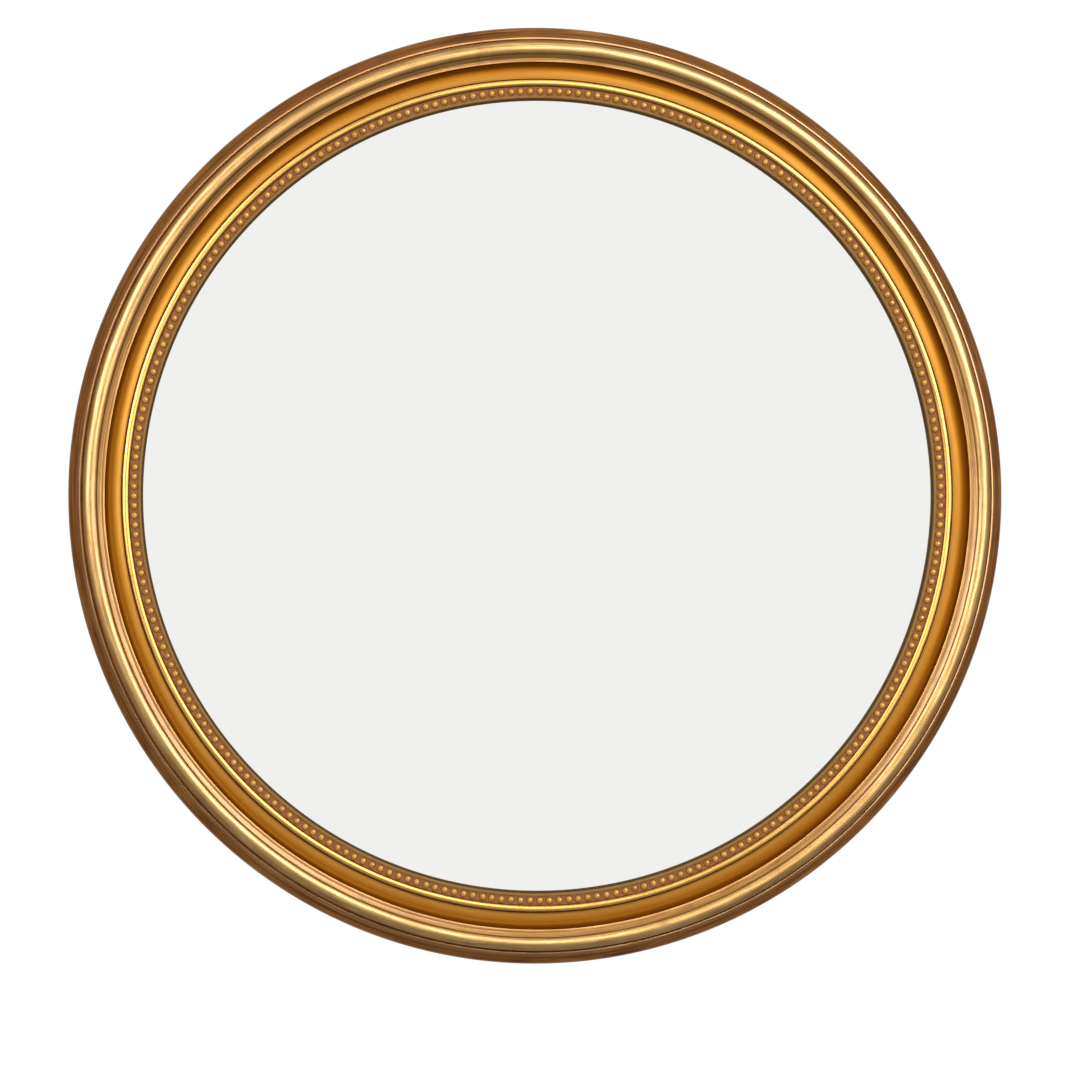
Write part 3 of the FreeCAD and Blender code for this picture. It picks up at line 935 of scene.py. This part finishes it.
def bent_ring():
    """A D-ring about its bar's middle: round wire bent at two corners and round a bow below."""
    wire = bmesh.new()
    round_section = bmesh.ops.create_circle(
        wire, segments=16, radius=wire_radius, matrix=Matrix.Rotation(math.pi / 2, 4, "Y"),
    )
    end = round_section["verts"] + wire.edges[:]
    straight = ring_half_width - ring_corner
    # A bend is the straight run up to it, its middle, its turn and its steps. The last run is the bar.
    bends = [
        (Vector((straight, 0, 0)), (straight, 0, -ring_corner), math.pi / 2, 8),
        (Vector((0, 0, ring_corner - ring_leg)), (0, 0, -ring_leg), math.pi, 32),
        (Vector((0, 0, ring_leg - ring_corner)), (-straight, 0, -ring_corner), math.pi / 2, 8),
        (Vector((straight, 0, 0)), None, 0, 0),
    ]
    for run, middle, turn, steps in bends:
        end = bmesh.ops.extrude_edge_only(wire, edges=only(end, bmesh.types.BMEdge))["geom"]
        bmesh.ops.translate(wire, verts=only(end, bmesh.types.BMVert), vec=run)
        if middle:
            end = only(end, (bmesh.types.BMVert, bmesh.types.BMEdge))
            end = bmesh.ops.spin(
                wire, geom=end, cent=middle, axis=axis, angle=turn, steps=steps,
            )["geom_last"]
    bmesh.ops.remove_doubles(wire, verts=wire.verts, dist=0.005 * mm)
    bmesh.ops.recalc_face_normals(wire, faces=wire.faces)
    return wire


brass = brass_plating()
for side, angle in hanger_angles.items():
    finish_solid(f"strap_hanger_{side}", brass)
    bent = bent_ring()
    place = round_frame(angle) @ Matrix.Translation(at(hinge_radius, hinge_height))
    bmesh.ops.transform(bent, matrix=place, verts=bent.verts)
    ring = finished_piece(f"bent_ring_{side}", bent, [brass])
    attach(ring, f"d_ring_{side}")
    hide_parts(f"d_ring_{side}")
strap_seat = ring_back - 2 * strap_ply
strap_screws = driven_screws(
    "strap_screws",
    [
        (angle, hinge_radius + strap_screw_distance, strap_seat, slot_turn)
        for angle, slot_turn in zip(hanger_angles.values(), strap_slot_turns)
    ],
    zinc_plate,
)
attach(strap_screws, "frame")
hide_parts("hanger_screws")

# Wall bumpers: four moulded studs of black rubber glued to the back of the ring. They keep the
# frame and its hangers off the wall.
bumper_radius = 9 * mm
bumper_face_radius = 7.5 * mm
bumper_angles = {"top_left": -30, "top_right": 30, "bottom_right": 150, "bottom_left": -150}
bumper_inset = 4.6 * mm
bumper_softening = 0.8 * mm
bumper_steps = 48
bumper_ring_radius = ring_radius - nose_depth - bumper_inset - bumper_radius


def bumper_rubber():
    """Black rubber, dusty grey where it has rubbed."""
    material, tree, shader = new_finish("bumper_rubber")
    dust = ranged(tree, clouds(tree, 3 * mm, detail=5.0), 0.42, 0.72)
    tone = over(tree, dust, (0.018, 0.018, 0.019, 1), (0.060, 0.058, 0.055, 1))
    tree.links.new(tone, shader.inputs["Base Color"])
    tree.links.new(ranged(tree, dust, 0.0, 1.0, 0.55, 0.75), shader.inputs["Roughness"])
    bumped(tree, shader, clouds(tree, 0.6 * mm), strength=0.2, distance=0.05 * mm)
    return material


rubber = bumper_rubber()
for corner, angle in bumper_angles.items():
    stud = section(
        (0, 0),
        [
            (bumper_face_radius, 0),
            (bumper_radius, ring_back),
            (0, ring_back),
        ],
    )
    rims = [vert for vert in stud.verts if vert.co.z > 0 and vert.co.y > -hair]
    round_corners(stud, rims, bumper_softening, segments=4)
    open_at_axis(stud)
    turn_round(stud, bumper_steps)
    place = round_frame(angle) @ Matrix.Translation(at(bumper_ring_radius, 0))
    bmesh.ops.transform(stud, matrix=place, verts=stud.verts)
    bumper = finished_piece(f"rubber_stud_{corner}", stud, [rubber])
    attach(bumper, "frame")
    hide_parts(f"wall_bumper_{corner}")

# Studio: a pale sheet well below the mirror, a white surround, two soft boxes and a soft light
# above. Two more boxes make the sheen on the gilding and light nothing else.
floor_height = -0.60
floor_half = 1.13
floor_middle = 0.73
fade_start = 0.5
middle_glow, edge_glow = 0.45, 0.66
surround_light = 0.50


def seen_rays(tree):
    """1 where the eye, a reflection or clear glass looks, and 0 for the light on a surface."""
    path = tree.nodes.new("ShaderNodeLightPath")
    seen = calc(tree, "MAXIMUM", path.outputs["Is Camera Ray"], path.outputs["Is Glossy Ray"])
    return calc(tree, "MAXIMUM", seen, path.outputs["Is Transmission Ray"])


def pale_sheet():
    """Reads as white, glowing more towards its edges, and keeps the mirror's shadow."""
    material, tree, shader = new_finish("pale_sheet")
    shader.inputs["Base Color"].default_value = (0.80, 0.80, 0.80, 1)
    shader.inputs["Roughness"].default_value = 0.9
    shader.inputs["Specular IOR Level"].default_value = 0.0
    inputs = {0: own_place(tree), 1: (0, floor_middle, floor_height)}
    away = add(tree, "VectorMath", inputs, output=1, operation="DISTANCE")
    fade = ranged(tree, away, fade_start, floor_half, middle_glow, edge_glow)
    glow = add(tree, "Emission", {"Strength": calc(tree, "MULTIPLY", seen_rays(tree), fade)})
    both = add(tree, "AddShader", {0: shader.outputs[0], 1: glow})
    output = tree.nodes["Material Output"]
    tree.links.new(both, output.inputs["Surface"])
    return material


sheet_work = bmesh.new()
bmesh.ops.create_grid(
    sheet_work, x_segments=1, y_segments=1, size=floor_half,
    matrix=Matrix.Translation((0, floor_middle, floor_height)),
)
floor = finished_piece("floor_sheet", sheet_work, [pale_sheet()], smooth=False)
# The domed glass would show the sheet's edge, so it reflects the white surround alone.
floor.visible_glossy = False

world = bpy.data.worlds.new("white_surround")
bpy.context.scene.world = world
world.use_nodes = True
surround = world.node_tree
background = surround.nodes["Background"]
background.inputs["Color"].default_value = (1, 1, 1, 1)
white = ranged(surround, seen_rays(surround), 0.0, 1.0, surround_light, 1.0)
surround.links.new(white, background.inputs["Strength"])

all_but_glass = bpy.data.collections.new("all_but_glass")
all_but_glass.objects.link(glass)
all_but_glass.collection_objects[0].light_linking.link_state = "EXCLUDE"
gilded_rings = bpy.data.collections.new("gilded_rings")
gilded_rings.objects.link(moulding)
gilded_rings.objects.link(slip)
all_gilding = bpy.data.collections.new("all_gilding")
for piece in (moulding, slip, beads):
    all_gilding.objects.link(piece)


def soft_box(name, clock, off_axis, distance, size, power, shine_on=None):
    """A square lamp that faces the mirror from a clock direction, so far off the mirror's axis."""
    lamp = bpy.data.lights.new(name, "AREA")
    lamp.shape = "SQUARE"
    lamp.size = size
    lamp.energy = power
    box = bpy.data.objects.new(name, lamp)
    tilt, round_clock = math.radians(off_axis), math.radians(clock)
    spot = Vector((
        math.sin(tilt) * math.sin(round_clock),
        -math.cos(tilt),
        math.sin(tilt) * math.cos(round_clock),
    )) * distance
    box.location = spot
    box.rotation_euler = spot.to_track_quat("Z", "Y").to_euler()
    box.visible_camera = False
    box.visible_diffuse = not shine_on
    box.light_linking.receiver_collection = shine_on or all_but_glass
    bpy.context.scene.collection.objects.link(box)


soft_box("right_soft_box", clock=55, off_axis=37, distance=2.2, size=1.5, power=12)
soft_box("left_soft_box", clock=-68, off_axis=48, distance=2.2, size=1.5, power=9)
soft_box("top_light", clock=0, off_axis=72, distance=2.4, size=1.0, power=19)
soft_box(
    "right_shine", clock=55, off_axis=33, distance=2.15, size=1.5, power=165, shine_on=all_gilding,
)
soft_box(
    "left_shine", clock=-68, off_axis=54, distance=2.15, size=1.4, power=130, shine_on=gilded_rings,
)

camera_azimuth = -4.4
camera_elevation = 0.4
camera_distance = 3.0
aim_right = 1.8 * mm
aim_down = 27.4 * mm
camera = bpy.data.cameras.new("camera")
camera.sensor_width = 36
camera.lens = 160.34
eye = bpy.data.objects.new("camera", camera)
turn, lift = math.radians(camera_azimuth), math.radians(camera_elevation)
towards_eye = Vector((
    math.sin(turn) * math.cos(lift), -math.cos(turn) * math.cos(lift), math.sin(lift),
))
aim = Vector((aim_right, 0, -aim_down))
eye.location = aim + towards_eye * camera_distance
eye.rotation_euler = towards_eye.to_track_quat("Z", "Y").to_euler()
bpy.context.scene.collection.objects.link(eye)
bpy.context.scene.camera = eye
bpy.context.scene.view_settings.view_transform = "Standard"
